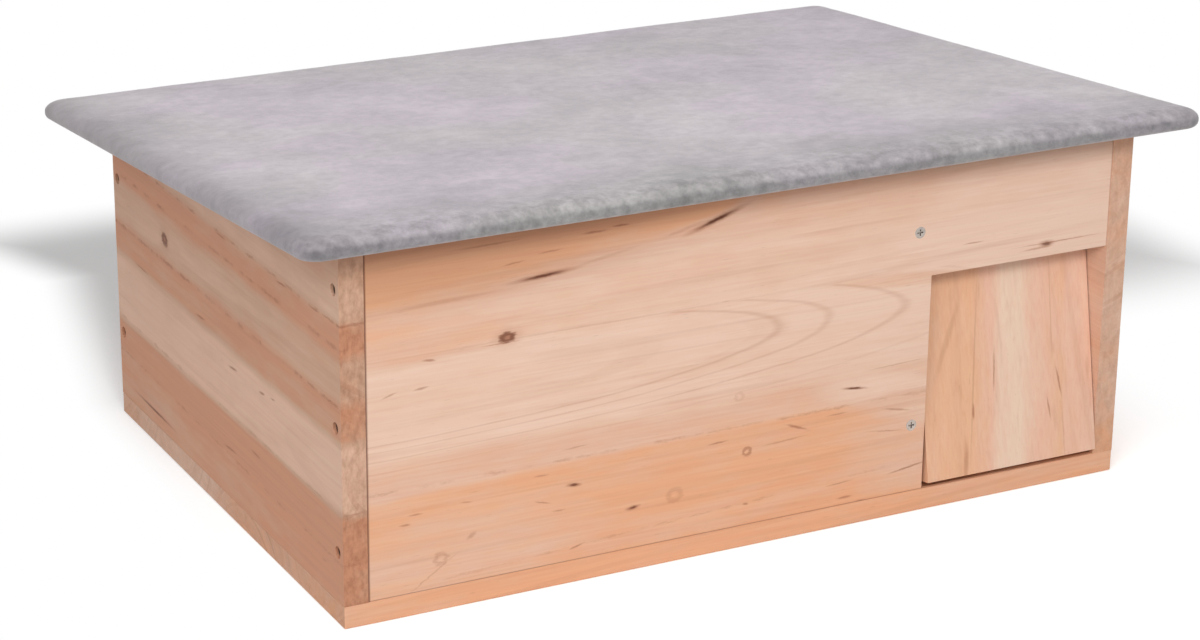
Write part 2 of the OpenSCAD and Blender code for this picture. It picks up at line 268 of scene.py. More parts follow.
# How the end grain's speckle tints a board
END_TINTS = [(0.3, (0.60, 0.54, 0.49)), (0.5, (0.76, 0.72, 0.69)), (0.7, (0.88, 0.85, 0.83))]

# A mark stronger than this is dark at its core
DEEP_MARK = 0.7

# Half the width of a single ring line, in millimetres
ARC_HALF = 0.62

# Tones of the boards: pale, middle and rich
FRONT_TONES = (srgb(230, 197, 176), srgb(223, 182, 157), srgb(227, 170, 132))
# The left side's tones are darker and warmer than the front's: partly the wood, partly painted shade
SHADED_SIDE_TONES = (srgb(232, 192, 168), srgb(214, 174, 147), srgb(211, 152, 120))
FLAP_TONES = (srgb(232, 203, 180), srgb(231, 187, 163), srgb(228, 179, 144))
LATE = srgb(178, 124, 94)
DARK = srgb(92, 48, 28)
SOFT_DARK = srgb(152, 92, 62)


class Grain(Shader):
    """Pine's coordinates: millimetres along the grain, across the board and through it."""

    def __init__(self, name, axes, seed):
        super().__init__(name)
        self.seed = seed
        xyz = dict(zip("xyz", self.split(self.vector("SCALE", self.coords, scale=1 / MM))))
        facing = dict(zip("xyz", self.split(self.facing)))
        self.along, self.across, self.deep = (xyz[a] for a in axes)
        self.flat = self.join(self.along, self.across, self.deep)
        self.end = self.fade(self.math("ABSOLUTE", facing[axes[0]]), 0.55, 0.85)

        # Slow wander of the grain, and finer ones that roughen the marks
        self.slow = self.math("SUBTRACT", self.streaks(380, 110, 110, 0.0, 2.0, 0.4), 0.5)
        self.fine = self.math("SUBTRACT", self.streaks(60, 14, 14, 4.0, 2.0, 0.5), 0.5)
        rough = self.streaks(5, 1.6, 3, 8.0, 2.0, 0.6, out="Color")
        rough = self.vector("SUBTRACT", rough, (0.5, 0.5, 0.5))
        self.ragged = self.vector("ADD", self.flat, self.vector("MULTIPLY", rough, (3.0, 0.9, 0.0)))
        self.torn = self.vector("ADD", self.flat, self.vector("MULTIPLY", rough, (5.0, 3.5, 0.0)))
        sway = self.join(0.0, self.math("MULTIPLY", self.slow, 16.0), 0.0)
        self.loose = self.vector("ADD", self.flat, sway)
        self.fibre = self.streaks(60, 1.5, 1.5, 1.0, 3.0, 0.6)

    def stretched(self, length, width, depth, offset):
        """Coordinates in which one noise cell has the given size in millimetres."""
        return self.join(
            self.math("MULTIPLY_ADD", self.along, 1 / length, self.seed + offset),
            self.math("MULTIPLY_ADD", self.across, 1 / width, self.seed * 1.7 + offset),
            self.math("MULTIPLY_ADD", self.deep, 1 / depth, self.seed * 0.6),
        )

    def streaks(self, length, width, depth, offset, detail, rough, out="Fac"):
        return self.noise(self.stretched(length, width, depth, offset), 1.0, detail, rough, out=out)


def ring_radius(s, staves, wander_mm):
    """Distance from the pith, stave by stave, with the grain's wander."""
    radius = None
    for low, pith_w, pith_d, slope_w, slope_d in staves:
        dw = s.math("SUBTRACT", s.across, s.math("MULTIPLY_ADD", s.along, slope_w, pith_w))
        dd = s.math("SUBTRACT", s.deep, s.math("MULTIPLY_ADD", s.along, slope_d, pith_d))
        r = s.math("SQRT", s.math("MULTIPLY_ADD", dw, dw, s.math("MULTIPLY", dd, dd)))
        if radius is None:
            radius = r
        else:
            here = s.math("GREATER_THAN", s.across, low)
            below = s.math("MULTIPLY", radius, s.math("SUBTRACT", 1.0, here))
            radius = s.math("MULTIPLY_ADD", r, here, below)
    shift = s.math("MULTIPLY_ADD", s.slow, wander_mm, s.math("MULTIPLY", s.fine, 1.2))
    return s.math("ADD", radius, shift)


def late_wood(s, radius, ring_mm):
    """Uneven rings: broad soft bands with thin late lines."""
    bands = s.line_noise(radius, 1 / ring_mm, 2.0)
    lines = s.line_noise(s.math("ADD", radius, 37.0), 2.6 / ring_mm, 0.0)
    late = s.math("MULTIPLY_ADD", s.fade(bands, 0.42, 0.68), 0.55, s.fade(lines, 0.60, 0.74, 0.0, 0.6))
    patchy = s.remap(s.streaks(260, 40, 40, 9.0, 2.0, 0.5), 0.35, 0.65, 0.3, 1.0)
    return s.math("MULTIPLY", late, patchy)


def board_colour(s, tones, patches, tilt, palette):
    """Broad tone across the board, with patches, mottle and clouds."""
    lo, hi = tones[0][0], tones[-1][0]
    level = s.math("MULTIPLY_ADD", s.along, tilt, s.math("MULTIPLY_ADD", s.slow, 9.0, s.across))
    tone = s.ramp(s.remap(level, lo, hi), [((w - lo) / (hi - lo), t) for w, t in tones])
    for along, across, half_l, half_w, turn, change in patches:
        ball = s.oval(s.loose, (along, across), (half_l, half_w), turn)
        tone = s.math("ADD", tone, s.fade(ball, 0.55, 1.25, change, 0.0))
    cloud = s.streaks(210, 30, 30, 2.0, 3.0, 0.55)
    mottle = s.streaks(30, 8, 8, 15.0, 3.0, 0.55)
    tone = s.math("ADD", tone, s.remap(mottle, 0.3, 0.7, -0.13, 0.13))
    tone = s.math("ADD", tone, s.remap(cloud, 0.3, 0.7, -0.18, 0.18), clamp=True)
    pale, middle, rich = palette
    return s.ramp(tone, [(0.0, pale), (0.5, middle), (1.0, rich)])


def add_fibre(s, colour):
    """Fibre, streaks and pores."""
    thread = s.ramp(s.fibre, [(0.25, 0.38), (0.5, 0.5), (0.75, 0.60)])
    colour = s.mix(0.38, colour, thread, "OVERLAY")
    streak = s.streaks(170, 5, 5, 6.0, 2.0, 0.5)
    colour = s.mix(s.remap(streak, 0.60, 0.80, 0.0, 0.24), colour, LATE)
    pores = s.streaks(8, 0.7, 0.7, 3.0, 1.0, 0.5)
    return s.mix(s.remap(pores, 0.70, 0.82, 0.0, 0.16), colour, DARK)


def add_flecks(s, colour, flecks):
    away, pick = s.cells(s.stretched(88, 11, 16, 5.0))
    size = s.remap(pick, 0.72, 1.0, 0.0, 0.085)
    speck = s.fade(away, 0.0, s.math("ADD", size, 0.001), flecks, 0.0)
    return s.mix(speck, colour, SOFT_DARK)


def add_marks(s, colour, marks):
    for along, across, half_l, half_w, turn, strength in marks:
        ball = s.oval(s.ragged, (along, across), (half_l, half_w), turn)
        if strength > DEEP_MARK:
            colour = s.mix(s.fade(ball, 0.5, 1.7, 0.55, 0.0), colour, SOFT_DARK)
            colour = s.mix(s.fade(ball, 0.2, 1.0, strength, 0.0), colour, DARK)
        else:
            colour = s.mix(s.fade(ball, 0.25, 1.15, strength, 0.0), colour, SOFT_DARK)
    return colour


def add_seams(s, colour, seams):
    dashes = s.remap(s.streaks(13, 30, 30, 12.0, 3.0, 0.6), 0.44, 0.62)
    for across, half_w, slope, strength in seams:
        middle = s.math("MULTIPLY_ADD", s.along, slope, across)
        away = s.math("ABSOLUTE", s.math("SUBTRACT", s.split(s.torn)[1], middle))
        line = s.fade(away, 0.0, half_w, strength, 0.0)
        colour = s.mix(s.math("MULTIPLY", line, dashes), colour, SOFT_DARK)
    return colour


def add_pin_knots(s, colour, rings):
    for along, across, size, strength in rings:
        ball = s.oval(s.torn, (along, across), (size * 1.1, size))
        rim = s.math("ABSOLUTE", s.math("SUBTRACT", ball, 0.8))
        colour = s.mix(s.fade(rim, 0.1, 0.55, strength, 0.0), colour, SOFT_DARK)
    return colour


def add_knots(s, colour, balls):
    for ball in balls:
        colour = s.mix(s.fade(ball, 0.9, 2.2, 0.22, 0.0), colour, LATE)
        colour = s.mix(s.fade(ball, 0.55, 1.15, 0.72, 0.0), colour, SOFT_DARK)
        core = s.fade(s.math("ABSOLUTE", s.math("SUBTRACT", ball, 0.55)), 0.08, 0.45, 0.62, 0.1)
        colour = s.mix(s.math("MULTIPLY", core, s.math("LESS_THAN", ball, 1.0)), colour, DARK)
    return colour


# Painted shade: dark ovals where shade falls in the joints and under the roof, and other darker places
def add_painted_shades(s, colour, painted_shades):
    for along, across, half_l, half_w, strength in painted_shades:
        ball = s.oval(s.flat, (along, across), (half_l, half_w))
        colour = s.mix(s.fade(ball, 0.3, 1.1, strength, 0.0), colour, DARK)
    return colour


def pine(name, axes, staves, tones, palette=FRONT_TONES, patches=(), arcs=(), marks=(), seams=(), rings=(),
         knots=(), painted_shades=(), tilt=0.0, seed=0.0, ring_mm=9.0, contrast=0.2, wander_mm=9.0, flecks=0.5,
         end_dark=1.0):
    """Solid pine: growth rings round a pith line, so faces, edges and ends agree.

    Lengths are in millimetres, along the grain and across the board.
    axes: the axis letters along the grain, across the board and through it.
    staves: glued strips (lowest across, pith across, pith depth, and the slopes of both along the grain).
    tones: stops (across, tone), 0 pale to 1 rich.
    patches: soft ovals of another tone (along, across, half length, half width, degrees, change).
    arcs: single rings that show (radius, strength).
    marks: dark dashes (along, across, half length, half width, degrees, strength).
    seams: broken dark lines along the grain (across, half width, slope, strength).
    rings: round pin knots (along, across, radius, strength).
    knots: (along, across, half length, half width, degrees).
    painted_shades: painted shade in the joint lines and under the roof's overhang, and other darker places
    (along, across, half length, half width, strength).
    tilt: how far the tones climb along the grain. ring_mm: a ring's width. contrast: the rings' strength.
    wander_mm: how far the rings stray. flecks: the strewn flecks' strength.
    end_dark: how far the end grain darkens.
    """
    s = Grain(name, axes, seed)
    radius = ring_radius(s, staves, wander_mm)

    # Knots push the rings aside
    knot_balls = [s.oval(s.torn, k[:2], k[2:4], k[4]) for k in knots]
    for ball, knot in zip(knot_balls, knots):
        radius = s.math("ADD", radius, s.fade(ball, 0.0, 4.0, 0.8 * knot[3], 0.0))

    late = late_wood(s, radius, ring_mm)
    end_contrast = min(0.55, 2.2 * contrast)
    colour = board_colour(s, tones, patches, tilt, palette)
    colour = s.mix(s.math("MULTIPLY", late, s.remap(s.end, 0.0, 1.0, contrast, end_contrast)), colour, LATE)
    for arc, strength in arcs:
        away = s.math("ABSOLUTE", s.math("SUBTRACT", radius, arc))
        colour = s.mix(s.fade(away, 0.0, ARC_HALF, strength, 0.0), colour, LATE)
    colour = add_fibre(s, colour)
    colour = add_flecks(s, colour, flecks)
    colour = add_marks(s, colour, marks)
    colour = add_seams(s, colour, seams)
    colour = add_pin_knots(s, colour, rings)
    colour = add_knots(s, colour, knot_balls)
    colour = add_painted_shades(s, colour, painted_shades)

    # End grain drinks more and shows a short speckle
    speckle = s.streaks(40, 7, 3.2, 7.0, 4.0, 0.62)
    end_tint = s.ramp(speckle, END_TINTS)
    colour = s.mix(s.math("MULTIPLY", s.end, end_dark), colour, s.mix(1.0, colour, end_tint, "MULTIPLY"))

    height = s.math("MULTIPLY_ADD", s.fibre, 0.8, s.math("MULTIPLY", late, 0.3))
    height = s.math("MULTIPLY_ADD", s.math("MULTIPLY", s.end, speckle), 1.2, height)
    normal = s.bump(height, 0.18, 0.3 * MM)
    rough = s.remap(s.fibre, 0.3, 0.7, 0.54, 0.66)
    return s.surface(colour, rough, normal, Specular_IOR_Level=0.3)


# Felt: the roof's half sizes along its slope, the widths of the painted shade round the rims and of the rough
# grain along the front, and the felt's colours
HALF_X = (RIGHT - LEFT) / 2 + OVER_SIDE
ROOF_L = OVER_FRONT + (BACK - FRONT) / math.cos(ROOF_PITCH) + OVER_BACK
HALF_U = ROOF_L / 2
RIM_SHADE_W = 70 * MM
GRAIN_W = 45 * MM
FELT_STOPS = (0.15, 0.5, 0.85)
FELT_GREY = (srgb(204, 195, 200), srgb(227, 216, 222), srgb(245, 235, 240))
FELT_MAUVE = (srgb(204, 192, 204), srgb(229, 214, 227), srgb(249, 234, 246))
# Painted shade on the felt's sides
FELT_SIDE_SHADE = (0.38, 0.41, 0.395)


def felt():
    """Brushed grey felt: cloudy, with painted shade round the rims and on the sides."""
    s = Shader("felt")
    x, u, _ = s.split(s.coords)
    from_left = s.math("ADD", x, HALF_X)
    from_right = s.math("SUBTRACT", HALF_X, x)
    from_front = s.math("ADD", u, HALF_U)
    from_back = s.math("SUBTRACT", HALF_U, u)

    cloud = s.noise(s.coords, 10.0, 3.0, 0.55, 0.3)
    patch = s.noise(s.coords, 38.0, 3.0, 0.6, 0.5)
    fleck = s.noise(s.coords, 150.0, 3.0, 0.65)
    nap = s.noise(s.coords, 900.0, 3.0, 0.7)
    tone = s.math("MULTIPLY", s.remap(cloud, 0.3, 0.7), 0.40)
    for layer, share in ((patch, 0.28), (fleck, 0.16), (nap, 0.16)):
        tone = s.math("MULTIPLY_ADD", s.remap(layer, 0.3, 0.7), share, tone)
    grey = s.ramp(tone, list(zip(FELT_STOPS, FELT_GREY)))
    mauve = s.ramp(tone, list(zip(FELT_STOPS, FELT_MAUVE)))
    hue = s.noise(s.vector("ADD", s.coords, (3.1, 1.7, 0.0)), 7.0, 2.0, 0.5)
    colour = s.mix(s.fade(hue, 0.40, 0.60), grey, mauve)

    # Painted shade round the rims, deepest on the left and the front: distance from the edge, how far the line
    # wavers, and the shade over the shaded width
    far_stops = [(0.0, 0.88), (0.3, 0.96), (1.0, 1.0)]
    rims = (
        (from_left, 0.02, [(0.0, 0.53), (0.1, 0.64), (0.2, 0.74), (0.35, 0.85), (0.64, 0.94), (1.0, 1.0)]),
        (from_front, 0.09, [(0.0, (0.71, 0.735, 0.71)), (0.25, (0.74, 0.76, 0.74)), (0.48, (0.77, 0.785, 0.77)),
                            (0.68, 0.86), (1.0, 1.0)]),
        (from_front, 0.0, [(0.0, (0.82, 0.84, 0.82)), (0.06, (0.92, 0.94, 0.92)), (0.16, 1.0)]),
        (from_right, 0.04, far_stops),
        (from_back, 0.04, far_stops),
    )
    waver = s.math("SUBTRACT", s.noise(s.coords, 24.0, 3.0, 0.65), 0.5)
    for inside, reach, stops in rims:
        inside = s.math("MULTIPLY_ADD", waver, reach, inside)
        colour = s.mix(1.0, colour, s.ramp(s.remap(inside, 0.0, RIM_SHADE_W), stops), "MULTIPLY")

    # Rougher grain along the front, and painted shade on the sides and underside, most where they face the
    # front or the back
    grain = s.ramp(fleck, [(0.32, 0.80), (0.5, 1.0), (0.68, 1.18)])
    grain_share = s.fade(from_front, 0.0, GRAIN_W, 1.0, 0.25)
    colour = s.mix(grain_share, colour, s.mix(1.0, colour, grain, "MULTIPLY"))
    _, to_front, to_top = s.split(s.facing)
    side = s.fade(to_top, 0.05, 0.97, 1.0, 0.0)
    side = s.math("MULTIPLY", side, s.remap(s.math("ABSOLUTE", to_front), 0.2, 0.8, 0.10, 0.66))
    colour = s.mix(side, colour, s.mix(1.0, colour, FELT_SIDE_SHADE, "MULTIPLY"))

    height = s.math("MULTIPLY_ADD", nap, 0.6, s.math("MULTIPLY", fleck, 0.7))
    height = s.math("MULTIPLY_ADD", patch, 0.5, height)
    normal = s.bump(height, 0.5, 0.7 * MM)
    return s.surface(colour, 0.95, normal, Specular_IOR_Level=0.1, Sheen_Weight=0.5, Sheen_Roughness=0.5)


def metal(name, colour, rough):
    """Plated steel with a faint brushed and cloudy finish."""
    s = Shader(name)
    cloud = s.noise(s.coords, 420.0, 3.0, 0.6)
    strokes = s.place(s.coords, (0.0, 0.0, 0.0), (0.0, 0.0, 0.4), (8.0, 0.6, 0.6))
    brush = s.noise(strokes, 900.0, 2.0, 0.6)
    shade = s.ramp(cloud, [(0.3, tuple(0.72 * c for c in colour)), (0.7, colour)])
    normal = s.bump(brush, 0.10, 0.1 * MM)
    return s.surface(shade, s.remap(brush, 0.3, 0.7, rough, rough + 0.18), normal, 1.0)


# Sanded edges of the boards
EASED = 0.6 * MM
EASED_FROM = math.radians(50)
WELD = 0.01 * MM


def dress(node, material):
    obj = nodes[node]
    obj.data.materials.clear()
    obj.data.materials.append(material)


def ease_edges(node):
    """Slightly rounded edges, as on a sanded board."""
    obj = nodes[node]
    weld = obj.modifiers.new("weld", "WELD")
    weld.merge_threshold = WELD
    bevel = obj.modifiers.new("eased", "BEVEL")
    bevel.width = EASED
    bevel.segments = 3
    bevel.limit_method = "ANGLE"
    bevel.angle_limit = EASED_FROM
    bevel.harden_normals = True


def dress_boards():
    front_y = FRONT / MM
    back_y = BACK / MM
    left_x = LEFT / MM
    right_x = RIGHT / MM
    front = pine(
        "pine_front", "xzy",
        staves=[
            (0, -45, front_y + 60, 0.035, 0.02),
            (74, 130, front_y + 28.0, 0.0, 0.105),
            (149, 330, front_y + 50, 0.05, 0.03),
        ],
        tones=[(10, 0.85), (72.5, 0.90), (76, 0.50), (92, 0.44), (99, 0.08), (146, 0.06), (152, 0.20),
               (178, 0.34),
               (195, 0.45), (222, 0.60)],
        patches=[
            (-250, 218, 272, 50, 5, 0.80),
            (190, 175, 95, 42, 0, -0.34),
            (105, 144, 62, 4.5, -5, 0.45),
            (-190, 28, 85, 26, 8, -0.24),
            (120, 35, 62, 30, -8, -0.32),
            (98, 75, 62, 15, -15, -0.46),
            (-40, 206, 34, 7, 10, 0.5),
            (-215, 157, 75, 12, 0, 0.36),
        ],
        arcs=[(29.0, 0.27), (32.6, 0.22), (37.7, 0.24), (44.5, 0.12)],
        seams=[(74.0, 1.3, 0.0, 0.30), (27, 0.9, 0.05, 0.22)],
        knots=[(-153.5, 150.5, 5.6, 3.4, 5)],
        # Painted shade in the joints at the left end, along the bottom and at the right end; darker towards the
        # roof at the upper left; painted shadow under the roof's overhang
        painted_shades=[(-236, 110, 1.6, 900, 0.80), (0, 13, 2000, 0.8, 0.45), (236, 180, 0.7, 900, 0.35),
                (-205, 210, 200, 46, 0.28),
                (0, 213, 3000, 9, 0.32)],
        rings=[(-4, 58, 2.6, 0.55), (-193, 30, 3.6, 0.26), (-50, 40, 4.2, 0.20), (-10, 92, 2.6, 0.14)],
        marks=[
            (-132, 182, 16, 1.3, 4, 0.95),
            (-192, 176.5, 34, 1.5, 2, 0.22),
            (-95, 187, 24, 1.3, 9, 0.16),
            (-45, 196, 18, 1.4, 13, 0.24),
            (-150, 191.5, 8, 0.6, 6, 0.45),
            (-128, 195, 8, 0.6, 3, 0.45),
            (-102, 202, 9, 0.9, 0, 0.55),
            (-86, 203.5, 6, 0.8, 0, 0.65),
            (-27, 198.3, 16, 1.6, 18, 1.0),
            (-158, 147.6, 13, 0.5, 0, 0.45),
            (-199, 145, 4.5, 0.9, -8, 0.60),
            (-204, 130, 5, 0.9, 4, 0.50),
            (-222, 129, 6, 0.7, 15, 0.40),
            (-113, 58, 3.6, 1.0, -8, 0.85),
            (-76, 37.5, 3.6, 1.1, 5, 0.85),
            (-111, 21, 5.5, 0.8, 15, 0.55),
            (-214, 53.5, 4.5, 0.8, -3, 0.50),
            (-132, 51, 6, 0.6, -15, 0.45),
            (-175, 40, 4, 1.6, 30, 0.35),
            (-23, 66.5, 7, 0.7, 3, 0.55),
            (20, 60, 16, 0.7, 3, 0.35),
            (28, 67, 9, 1.0, -20, 0.60),
            (66, 84, 7, 0.8, -8, 0.95),
            (95, 66, 11, 0.8, -12, 0.45),
            (88, 54, 14, 0.6, -8, 0.35),
            (104, 28.3, 15, 0.8, 8, 0.65),
            (62, 17.5, 6, 0.9, 0, 0.55),
            (-4, 26, 2.6, 0.9, -10, 0.60),
            (203, 152.6, 36, 0.45, 0.5, 0.50),
            (193, 152.0, 4.4, 1.7, 0, 0.72),
            (186, 150.0, 12, 0.8, 2, 0.40),
            (142, 160, 8, 0.6, 1, 0.50),
            (-100, 149.3, 150, 0.7, 0.2, 0.15),
            (-165, 204, 22, 0.7, 1, 0.40),
            (-208, 58.5, 5, 0.7, 0, 0.45),
            (-178, 60, 5, 0.6, -5, 0.35),
            (-122, 44.5, 4.5, 0.7, 0, 0.40),
            (-133, 67, 5, 0.6, 0, 0.40),
            (-198, 22, 22, 0.6, 33, 0.26),
            (58, 27, 10, 0.6, 3, 0.40),
            (55, 70, 8, 0.6, 0, 0.40),
            (-112, 80, 10, 0.6, 3, 0.35),
            (92, 94, 22, 0.5, 2, 0.30),
        ],
        tilt=-0.02, seed=3.1, ring_mm=11, contrast=0.13, wander_mm=2.5, flecks=0.45,
    )
    left = pine(
        "pine_left", "yzx",
        staves=[
            (0, -60, left_x + 55, 0.05, 0.05),
            (66, 85, left_x + 45, 0.0, 0.09),
            (108, 200, left_x + 60, -0.06, 0.02),
            (153, 172, left_x + 50, 0.03, -0.08),
        ],
        tones=[(13, 0.92), (62, 1.0), (68, 0.04), (103, 0.0), (110, 0.88), (126, 1.0), (133, 0.46),
               (151, 0.44),
               (158, 1.0), (171, 0.92), (177, 0.32), (188, 0.30), (196, 0.62), (216, 0.62)],
        palette=SHADED_SIDE_TONES,
        knots=[(78, 140, 5.6, 4.6, 10)],
        seams=[(158.5, 1.6, 0.0, 0.52), (126, 1.6, 0.0, 0.60), (172, 1.2, 0.0, 0.50), (66, 1.2, 0.0, 0.25),
               (40, 1.0, 0.02, 0.35)],
        marks=[
            (-105, 170.5, 9, 0.8, -3, 0.65),
            (-15, 170.5, 9, 0.8, 0, 0.60),
            (-150, 171, 8, 0.6, -2, 0.55),
            (22, 110, 8, 0.9, -3, 0.68),
            (120, 108.5, 14, 0.8, 2, 0.50),
            (-72, 96, 5, 1.1, -8, 0.70),
            (-88, 98, 4, 0.7, -8, 0.55),
            (-28, 95.5, 8, 1.0, -5, 0.70),
            (-20, 43.5, 11, 1.0, -3, 0.60),
            (-60, 55, 8, 1.0, 2, 0.50),
            (108, 21.5, 28, 0.9, 1, 0.75),
        ],
        tilt=0.0, seed=11.7, ring_mm=12, contrast=0.20, wander_mm=4, flecks=0.55,
    )
    right = pine(
        "pine_right", "yzx",
        staves=[
            (0, 40, right_x - 50, 0.02, 0.07),
            (75, 250, right_x - 60, 0.05, 0.03),
            (140, 168, right_x - 45, 0.0, -0.09),
        ],
        tones=[(10, 0.72), (32, 0.66), (40, 0.40), (105, 0.38), (112, 0.52), (142, 0.42), (150, 0.62),
               (216, 0.60)],
        knots=[(60, 110, 7, 5, 10), (-95, 78, 5, 3.5, 0)],
        marks=[(-90, 185, 12, 1.0, 4, 0.75), (10, 60, 9, 0.8, -4, 0.70), (110, 150, 18, 0.8, 2, 0.60)],
        seed=21.3, ring_mm=11, contrast=0.13, wander_mm=6, end_dark=0.55,
    )
    back = pine(
        "pine_back", "xzy",
        staves=[
            (0, 55, back_y - 30, 0.0, -0.10),
            (88, 300, back_y - 60, 0.04, 0.03),
            (150, 170, back_y - 45, 0.02, 0.08),
        ],
        tones=[(10, 0.30), (84, 0.25), (92, 0.85), (146, 0.70), (154, 0.20), (220, 0.40)],
        arcs=[(30.0, 0.32), (34.0, 0.28), (39.5, 0.30)],
        knots=[(-120, 60, 7, 5, 8), (150, 125, 6, 4.2, 0)],
        marks=[(20, 165, 14, 1.0, 6, 0.80), (-60, 118, 9, 0.8, -4, 0.70), (90, 40, 6, 0.9, 10, 0.70),
               (-180, 150, 16, 0.7, 2, 0.55)],
        seed=31.9, ring_mm=11, contrast=0.18, wander_mm=3,
    )
    floor = pine(
        "pine_floor", "xyz",
        staves=[
            (-250, -150, 45, 0.03, 0.04),
            (-95, -45, -50, -0.02, -0.06),
            (10, 75, 45, 0.02, 0.05),
            (100, 200, 60, 0.04, 0.02),
        ],
        tones=[(-190, 0.95), (-150, 0.85), (-100, 0.60), (-90, 0.85), (5, 0.60), (15, 0.25),
               (100, 0.30), (170, 0.7)],
        knots=[(-100, -20, 7, 5.5, 0), (120, 100, 6, 4.5, 17)],
        marks=[(-40, 60, 14, 0.9, 3, 0.7), (150, -60, 10, 0.8, -4, 0.7)],
        seed=43.3, ring_mm=9, contrast=0.24, wander_mm=6, end_dark=0.35,
    )
    inner = pine(
        "pine_partition", "yzx",
        staves=[(0, 90, 150, 0.02, 0.08), (110, 260, 160, 0.03, 0.03)],
        tones=[(10, 0.35), (105, 0.30), (115, 0.75), (220, 0.50)],
        knots=[(-50, 80, 6, 4.5, 0)],
        marks=[(-90, 150, 12, 0.9, 3, 0.7)],
        seed=53.9, ring_mm=11, contrast=0.20, wander_mm=5,
    )
    flap = pine(
        "pine_flap", "zxy",
        staves=[(110, 62, front_y + 60, -0.05, 0.05), (166, 320, front_y + 50, -0.04, 0.02)],
        tones=[(112, 1.0), (146, 0.95), (151, 0.72), (158, 0.64), (160, 0.50), (166, 0.14),
               (178, 0.06), (187, 0.44),
               (200, 0.60), (208, 0.80), (212, 0.50), (240, 0.50)],
        palette=FLAP_TONES,
        marks=[
            (75, 152, 64, 0.8, 6, 0.26),
            (54, 150.5, 6, 1.0, 4, 0.65),
            (24, 143.5, 14, 2.2, 6, 0.40),
            (76, 166.3, 15, 0.8, 4, 0.55),
            (62, 211.5, 11, 0.9, -10, 0.60),
            (104, 208, 36, 0.6, 1, 0.22),
            (48, 203.5, 8, 0.8, -8, 0.55),
            (32, 213, 22, 0.6, 0, 0.18),
            (98, 135, 28, 2.6, 24, 0.22),
        ],
        tilt=-0.06, seed=61.1, ring_mm=13, contrast=0.16, wander_mm=3, flecks=0.2,
    )
    roof = pine(
        "pine_roof", "xyz",
        staves=[(-300, -110, 160, 0.02, 0.05), (-40, 20, 140, 0.0, -0.06), (90, 260, 140, 0.03, 0.03)],
        tones=[(-220, 0.5), (-50, 0.35), (-30, 0.7), (85, 0.55), (95, 0.3), (220, 0.5)],
        knots=[(-150, -80, 8, 6, 0), (100, 50, 6, 4.5, 10)],
        marks=[(40, -120, 15, 1.0, 3, 0.7), (-60, 90, 12, 0.9, -3, 0.7)],
        seed=71.7, ring_mm=11, contrast=0.22, wander_mm=6,
    )
    boards = {"front_panel": front, "left_side_panel": left, "right_side_panel": right, "back_panel": back,
              "floor_panel": floor, "partition_wall": inner, "entrance_flap": flap, "roof_board": roof}
    for node, material in boards.items():
        dress(node, material)
        ease_edges(node)


def dress_metal():
    zinc = metal("zinc", (0.52, 0.47, 0.43), 0.40)
    dark = metal("dark_steel", (0.14, 0.10, 0.08), 0.50)
    hinge = metal("hinge_zinc", (0.56, 0.53, 0.46), 0.34)
    bright = ("partition_screws", "felt_staples", "hinge_wall_screws", "hinge_roof_screws")
    for node in nodes:
        if node in bright or node.startswith("flap_pivot"):
            dress(node, zinc)
        elif node.endswith("_screws"):
            dress(node, dark)
        elif node.startswith("hinge_"):
            dress(node, hinge)


# Felt sheet: over the top, rolled softly round the edges and in under them
ROLL_W = 13 * MM
ROLL_H = 6.5 * MM
SHEET_T = 0.6 * FELT_T
TOP_ROOM = 0.2 * MM
LOW_ROOM = 0.3 * MM
RIPPLE_SOFT = 0.30 * MM
RIPPLE_FINE = 0.16 * MM
RIPPLE_NAP = 0.07 * MM

# Grid lines near the rim, in millimetres from it, and the grid's step on the top
EDGE_STEPS = [0.0, 0.15, 0.5, 1.1, 2.0, 3.2, 4.7, 6.4, 8.3, 10.4, 12.7, 15.0, 17.5, 20.0]
TOP_STEP = 5.0 * MM


def grid_lines(half):
    edges = [half - e * MM for e in EDGE_STEPS]
    inside = edges[-1]
    count = max(2, round(2 * inside / TOP_STEP))
    middle = [-inside + 2 * inside * i / count for i in range(1, count)]
    return [-e for e in edges] + middle + edges[::-1]


def round_plan(x, u):
    """Moves a point of the full rectangle into the rectangle with round corners."""
    cx = HALF_X - CORNER_R
    cu = HALF_U - CORNER_R
    if abs(x) <= cx or abs(u) <= cu:
        return x, u
    a = (abs(x) - cx) / CORNER_R
    b = (abs(u) - cu) / CORNER_R
    nx = a * math.sqrt(1 - b * b / 2)
    nu = b * math.sqrt(1 - a * a / 2)
    return math.copysign(cx + nx * CORNER_R, x), math.copysign(cu + nu * CORNER_R, u)


def inset(x, u):
    """Distance of a plan point from the roof's rim."""
    cx = HALF_X - CORNER_R
    cu = HALF_U - CORNER_R
    if abs(x) > cx and abs(u) > cu:
        return max(0.0, CORNER_R - math.hypot(abs(x) - cx, abs(u) - cu))
    return min(HALF_X - abs(x), HALF_U - abs(u))


def edge_drop(e, width, height):
    """How far a rounded edge has fallen at a distance from the rim."""
    if e >= width:
        return 0.0
    return height * (1 - math.sqrt(max(0.0, 1 - ((width - e) / width) ** 2)))


def ripple(x, u, seed):
    """Small unevenness of the felt, in three sizes."""
    soft = noise.noise(Vector((x * 16 + seed, u * 22, seed))) * RIPPLE_SOFT
    fine = noise.noise(Vector((x * 60, u * 75 + seed, seed))) * RIPPLE_FINE
    nap = noise.noise(Vector((x * 150 + seed, u * 170, seed))) * RIPPLE_NAP
    return soft + fine + nap


